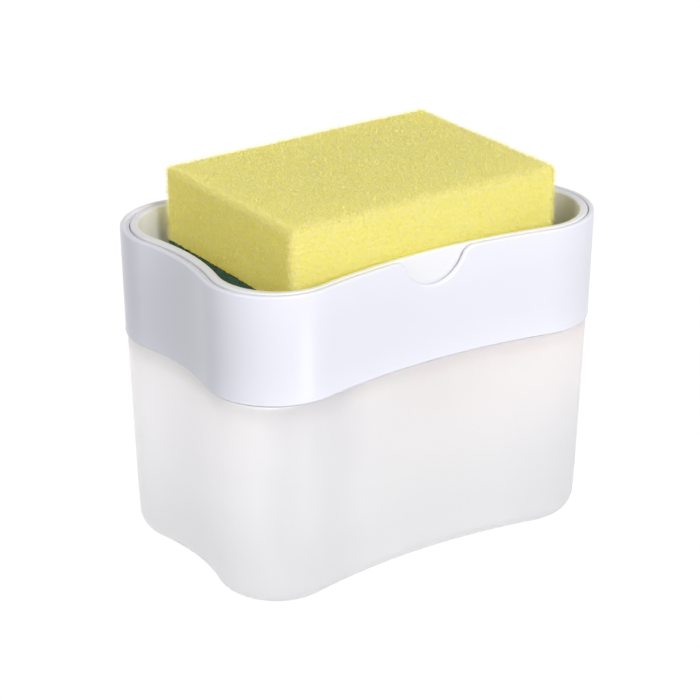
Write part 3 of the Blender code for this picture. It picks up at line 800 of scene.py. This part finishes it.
def frosted_look(name):
    """Frosted polypropylene: satin, with painted shade low down and in streaks, painted light and a
    painted highlight higher up, and lit through from behind.
    """
    look = Look(name)
    place = look.axes(look.place)
    x, y, z = place["X"], place["Y"], place["Z"]
    # Painted shade: the colour is darker low down and paler towards the rim
    shade = look.mix(look.spread(z, 0, 1, 0.016, 0.061), frost_low_painted_shade, frost_high)

    # Painted shade in streaks down the front, painted light as a warm blush higher up, and a
    # painted highlight along the seam's left end
    drift = look.math("MULTIPLY_ADD", look.noise(0.040, 2.0), 0.016, x)
    stops = (
        (0.0, 0.0), (0.06, 0.10), (0.10, 1.0), (0.24, 0.90), (0.33, 0.05),
        (0.50, 0.0), (0.70, 0.0), (0.80, 0.6), (0.90, 1.0),
    )
    greys = [(at, (share, share, share)) for at, share in stops]
    painted_shade_streaks = look.ramp(look.spread(drift, 0, 1, -0.062, 0.078), greys)
    painted_shade_streaks = look.math("MULTIPLY", painted_shade_streaks, look.spread(y, 0.60, 0, -0.012, 0.004))
    shade = look.mix(painted_shade_streaks, shade, frost_streak_shade)
    # Painted light: a lighter, warmer zone higher up, which also lets a little more light through
    upper = look.spread(z, 0, 0.9, 0.030, 0.068)
    painted_warm_light = look.math("MULTIPLY", upper, look.spread(drift, 0.1, 1, -0.022, 0.005))
    shade = look.mix(painted_warm_light, shade, frost_painted_light)
    # Painted highlight: a white line just under the seam at the tub's left end, which lets less
    # light through
    at_seam = look.spread(z, 0, 1, seam - 0.0014, seam - 0.0010)
    edge = look.math("MULTIPLY", at_seam, look.spread(x, 1, 0, -0.060, -0.052))
    shade = look.mix(edge, shade, white)

    gloss = look.spread(look.noise(0.0030, 2.0), 0.29, 0.33)
    frost = look.bump(look.noise(0.00045, 2.0, 0.6), 0.000004)
    share = look.spread(z, 0.79, 0.84, 0, seam)
    for mask, less in ((painted_warm_light, -0.03), (edge, 0.5)):
        share = look.math("SUBTRACT", share, look.math("MULTIPLY", mask, less))

    # The tub's top face is painted greyer as shade, and is denser, so that it shows against white
    # with the cover off
    land = look.spread(z, 0, 1, tub_top - 0.00012, tub_top - 0.00004)
    shade = look.mix(land, shade, frost_land_painted_shade)
    share = look.math("MULTIPLY", share, look.spread(land, 1, 0.1, 0, 1))
    body = look.solid(Base_Color=shade, Roughness=gloss, Normal=frost)
    return look.end(look.lit_through(share, body, Color=shade, Normal=frost))


def strut_look(name, deep, pale, low_gloss, high_gloss):
    """Thin ends of foam struts and skins: pale, bright and lit through."""
    look = Look(name)
    shade = look.ramp(look.noise(0.0008, 2.0), [(0.35, deep), (0.65, pale)])
    gloss = look.spread(look.noise(0.003, 2.0), low_gloss, high_gloss)
    body = look.solid(Base_Color=shade, Roughness=gloss)
    return look.end(look.lit_through(0.65, body, Color=shade))


def near_edges(look):
    """A mask that rises towards the foam block's upright and upper edges."""
    start, full = 0.0036, 0.0006
    low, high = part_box("sponge_foam")
    middle = (low.z + high.z) / 2
    squared = look.add(
        "ShaderNodeMapping", Vector=look.place,
        Rotation=(0, 0, -sponge_turn), Location=(-sponge_shift, 0, -middle)
    )
    place = look.axes(squared.outputs["Vector"])
    near = []
    for axis, half in zip("XYZ", (sponge_length / 2, sponge_width / 2, high.z - middle)):
        reach = look.math("ABSOLUTE", place[axis])
        near.append(look.spread(reach, 0, 1, half - start, half - full))
    near[2] = look.math("MULTIPLY", near[2], look.spread(place["Z"], 0, 1, 0, 0.001))
    pairs = [look.math("MULTIPLY", near[a], near[b]) for a, b in ((0, 1), (0, 2), (1, 2))]
    return look.math("MAXIMUM", look.math("MAXIMUM", pairs[0], pairs[1]), pairs[2])


def foam_look(name):
    """Yellow open-cell foam: pores darkened as painted shade, paler struts as painted light,
    painted glints as bright specks, and paler edges as painted sheen.
    """
    look = Look(name)
    big = look.cells(0.0010)
    small = look.cells(0.00045)
    pores = look.math("ADD", look.math("MULTIPLY", big, 0.55), look.math("MULTIPLY", small, 0.45))
    # Painted shade in the pores and painted light on the struts between them; the same pale colour
    # also tints random patches
    stops = [(0.13, foam_pore_shade), (0.34, foam_body), (0.60, foam_body), (0.82, foam_pale_and_lit)]
    shade = look.ramp(pores, stops)
    patches = look.spread(look.noise(0.010, 3.0), 0, 0.30)
    shade = look.mix(patches, shade, foam_pale_and_lit)
    # Painted sheen: paler in patches towards the block's edges
    edge = near_edges(look)
    edge = look.math("MULTIPLY", edge, look.spread(look.noise(0.0012, 3.0), 0.10, 0.55))
    shade = look.mix(edge, shade, foam_edge)
    # Painted glints: small bright specks scattered over the foam
    painted_glints = look.math(
        "MULTIPLY", look.spread(look.cells(0.0013), 1, 0, 0.14, 0.24),
        look.spread(look.noise(0.004, 2.0), 0, 1, 0.40, 0.55)
    )
    shade = look.mix(painted_glints, shade, foam_painted_glint)
    bump = look.bump(pores, 0.00030, 0.45)
    body = look.solid(
        Base_Color=shade, Roughness=0.75, Normal=bump,
        Sheen_Weight=0.35, Sheen_Roughness=0.6, Sheen_Tint=foam_sheen
    )
    return look.end(look.lit_through(0.36, body, Color=shade, Normal=bump))


def pad_look(name, lift=1.0):
    """Dark green scouring fibre, its colours lifted by a factor."""
    look = Look(name)
    long_way = look.add("ShaderNodeMapping", Vector=look.place, Scale=(1.0, 1.0, 3.0))
    strands = look.noise(0.0009, 5.0, 0.7, long_way.outputs["Vector"])
    stops = ((0.30, pad_dark), (0.50, pad_mid), (0.72, pad_light))
    shade = look.ramp(strands, [(at, tuple(c * lift for c in colour)) for at, colour in stops])
    bump = look.bump(strands, 0.0004, 0.8)
    gloss = look.spread(look.noise(0.003, 2.0), 0.55, 0.8)
    return look.end(look.solid(Base_Color=shade, Roughness=gloss, Normal=bump))


def metal_look(name, colour, roughness, drawn):
    """Steel wire or ball, with fine marks along its drawing or polishing."""
    look = Look(name)
    marks = look.noise(drawn, 3.0, 0.6)
    shade = look.mix(look.spread(marks, 0, 1), tone(colour, -0.12), tone(colour, 0.06))
    gloss = look.spread(marks, roughness * 0.7, roughness * 1.4)
    bump = look.bump(marks, 0.000006)
    return look.end(look.solid(Base_Color=shade, Roughness=gloss, Normal=bump, Metallic=1.0))


def dress(piece, look):
    """Give a piece one material."""
    piece.data.materials.clear()
    piece.data.materials.append(look)


def stand_for(piece, node, body, look):
    """Let a detailed piece stand for a CAD node."""
    dress(piece, look)
    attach(piece, body)
    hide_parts(node)
    return piece


ring_look = plastic_look("cool_white_plastic", ring_white, 0.30, through=0.08, inside=inside_white)
tray_look = plastic_look("tray_white_plastic", tray_white, 0.31, through=0.16)
tub_look = frosted_look("frosted_plastic")
natural_look = plastic_look("natural_plastic", natural_white, 0.34, through=0.35)
seal_look = plastic_look("soft_seal", seal_grey, 0.55, grain=0.0005, depth=0.00002)
foam_material = foam_look("yellow_foam")
pad_material = pad_look("green_scouring_pad")
fibre_material = pad_look("green_scouring_fibre", 1.1)
strut_material = strut_look("foam_struts", (0.97, 0.91, 0.38), (1.0, 0.985, 0.72), 0.38, 0.50)
flake_material = strut_look("foam_flakes", (0.99, 0.95, 0.50), (1.0, 0.99, 0.80), 0.14, 0.19)
tuft_material = strut_look("foam_tufts", (0.97, 0.93, 0.46), (1.0, 0.985, 0.74), 0.38, 0.50)
wire_look = metal_look("drawn_wire", wire_grey, 0.28, 0.0006)
ball_look = metal_look("polished_ball", ball_grey, 0.10, 0.0015)

stand_for(make_tub(), "reservoir", "tub", tub_look)
stand_for(make_cover(), "top_cover", "cover", ring_look)
stand_for(make_tray(), "sponge_tray", "tray", tray_look)
foam, foam_skin, foam_away = sponge_layer(
    "foam_block", "sponge_foam", foam_grid, foam_proud, edge=0.0020, glued=-1,
    pore=0.00009, pits=0.12, tufts=0.05, jitter=0.00009, swell=0.00018, seed=11
)
stand_for(foam, "sponge_foam", "sponge", foam_material)
on_edge = np.abs(foam_away).max(1) < 0.985
struts = spikes(
    "foam_struts", foam_skin, foam_away, 34000,
    length=(0.0003, 0.0007), radius=(0.00004, 0.00007), lean=0.7, seed=31
)
flakes = spikes(
    "foam_flakes", foam_skin, foam_away, 15000,
    length=(0.00010, 0.00032), radius=(0.00012, 0.00024), lean=0.9, seed=41
)
tufts = spikes(
    "foam_edge_struts", foam_skin[on_edge], foam_away[on_edge], 15000,
    length=(0.0006, 0.0018), radius=(0.00003, 0.00006), lean=0.7, seed=43
)
for fine, look in ((struts, strut_material), (flakes, flake_material), (tufts, tuft_material)):
    stand_for(fine, "sponge_foam", "sponge", look)
pad, pad_skin, pad_away = sponge_layer(
    "scouring_layer", "scour_pad", pad_grid, 0, edge=0.0009, glued=1,
    pore=0.00016, pits=0.08, tufts=0.10, jitter=0.00016, swell=0.0003, seed=23
)
stand_for(pad, "scour_pad", "sponge", pad_material)
fibre = fibres(
    "scouring_fibres", pad_skin, pad_away, 2600, length=(0.0015, 0.004), radius=0.00007, seed=37
)
stand_for(fibre, "scour_pad", "sponge", fibre_material)
spring = stand_for(make_spring(), "return_spring", "cover", wire_look)
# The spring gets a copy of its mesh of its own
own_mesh(spring)

kept = {
    natural_look: (
        "pump_housing", "guide_collar", "ball_cage", "dip_tube", "pump_stem", "piston_rod",
    ),
    ring_look: ("retaining_nut", "press_head", "nozzle_cap"),
    seal_look: ("housing_gasket", "piston", "nozzle_seal"),
    ball_look: ("inlet_ball", "outlet_ball"),
}
for look, names in kept.items():
    for name in names:
        dress(nodes[name], look)


def make_floor():
    """A pale floor that shows white to the camera and keeps the contact shadow."""
    size = 6.0
    corners = [(size * x, size * y, 0) for x, y in ((-1, -1), (1, -1), (1, 1), (-1, 1))]
    floor = new_object("floor", corners, [(0, 1, 2, 3)])
    look = Look("pale_floor")
    look.material.cycles.emission_sampling = "NONE"
    shade = look.mix(look.spread(look.noise(0.3, 2.0), 0, 1), floor_dark, floor_light)
    lit = look.add("ShaderNodeBsdfDiffuse", Color=shade).outputs["BSDF"]
    glow = look.add("ShaderNodeEmission", Color=(1, 1, 1, 1), Strength=1.04).outputs["Emission"]
    rays = look.add("ShaderNodeLightPath").outputs
    share = look.math("MULTIPLY", look.seen(rays, rays["Is Transmission Ray"]), 0.955)
    dress(floor, look.end(look.blend(share, lit, glow)))


def make_world(ambient):
    """Even soft light from all round, and white where the camera or a reflection looks past.

    Light that passes through the object finds white low down, and about a third of it overhead.
    """
    world = bpy.data.worlds.new("studio")
    bpy.context.scene.world = world
    world.cycles.sampling_method = "NONE"
    world.use_nodes = True
    sky = Nodes(world.node_tree)
    rays = sky.add("ShaderNodeLightPath").outputs
    height = sky.axes(sky.add("ShaderNodeTexCoord").outputs["Generated"])["Z"]
    low_down = sky.spread(height, 1.0, 0.35, 0.12, 0.50)
    through = sky.math("MULTIPLY", low_down, rays["Is Transmission Ray"])
    dim = tuple(ambient * c for c in ambient_colour)
    colour = sky.mix(sky.seen(rays, through), dim, white)
    sky.feed(sky.tree.nodes["Background"], "Color", colour)


def way_out(bearing, height):
    """The way out at a bearing from -Y towards +X, and at a height, both in radians."""
    flat = math.cos(height)
    return Vector((math.sin(bearing) * flat, -math.cos(bearing) * flat, math.sin(height)))


def area_lamp(name, width, tall, energy):
    """A rectangular lamp."""
    lamp = bpy.data.lights.new(name, "AREA")
    lamp.shape = "RECTANGLE"
    lamp.size, lamp.size_y = width, tall
    lamp.energy = energy
    made = bpy.data.objects.new(name, lamp)
    bpy.context.scene.collection.objects.link(made)
    return made


def softbox(name, level, bearing, height, width, tall, glints=True):
    """A lamp aimed at the object. Level is how bright it makes a white surface that faces it."""
    distance = 1.3
    lamp = area_lamp(name, width, tall, level * math.pi ** 2 * distance ** 2)
    lamp.visible_glossy = glints
    out = way_out(math.radians(bearing), math.radians(height))
    lamp.location = Vector((0, 0, lamp_aim)) + out * distance
    lamp.rotation_euler = out.to_track_quat("Z", "Y").to_euler()


def floor_glow(length, width, near, bearing, radiance):
    """A strip of light on the floor before the corner, which only reflections see."""
    lamp = area_lamp("corner_strip", width, length, radiance * math.pi * length * width)
    turn = math.radians(bearing)
    way = Vector((math.sin(turn), -math.cos(turn), 0))
    lamp.location = Vector((-corner_x, -half_width, 0.001)) + way * (near + length / 2)
    lamp.rotation_euler = (math.pi, 0, math.atan2(way.y, way.x) - math.pi / 2)
    for kind in ("camera", "diffuse", "transmission", "shadow"):
        setattr(lamp, f"visible_{kind}", False)


def make_camera():
    """The camera, from the photograph's solved view."""
    back = way_out(math.radians(-34.325), math.radians(23.84))
    distance, across, up_shift, roll = 0.79176, -0.002783, 0.00322, math.radians(0.059)
    right = Vector((0, 0, 1)).cross(back).normalized()
    up = back.cross(right)
    place = Vector((0, 0, camera_aim)) + back * distance + right * across + up * up_shift
    data = bpy.data.cameras.new("camera")
    data.lens, data.sensor_width = 125.67, 36.0
    camera = bpy.data.objects.new("camera", data)
    bpy.context.scene.collection.objects.link(camera)
    turn = Matrix((right, up, back)).transposed() @ Matrix.Rotation(roll, 3, "Z")
    camera.matrix_world = Matrix.Translation(place) @ turn.to_4x4()
    bpy.context.scene.camera = camera


make_floor()
make_world(ambient=0.25)
make_camera()
softbox("key", 0.765, bearing=-2, height=30, width=0.5, tall=0.7)
softbox("left_fill", 0.275, bearing=-74, height=30, width=0.6, tall=0.8)
softbox("right_fill", 0.10, bearing=80, height=30, width=0.8, tall=0.9)
softbox("back_light", 0.82, bearing=172, height=5, width=0.8, tall=0.24, glints=False)
floor_glow(length=0.170, width=0.050, near=0.040, bearing=18, radiance=3.5)

bpy.context.scene.view_settings.view_transform = "Standard"
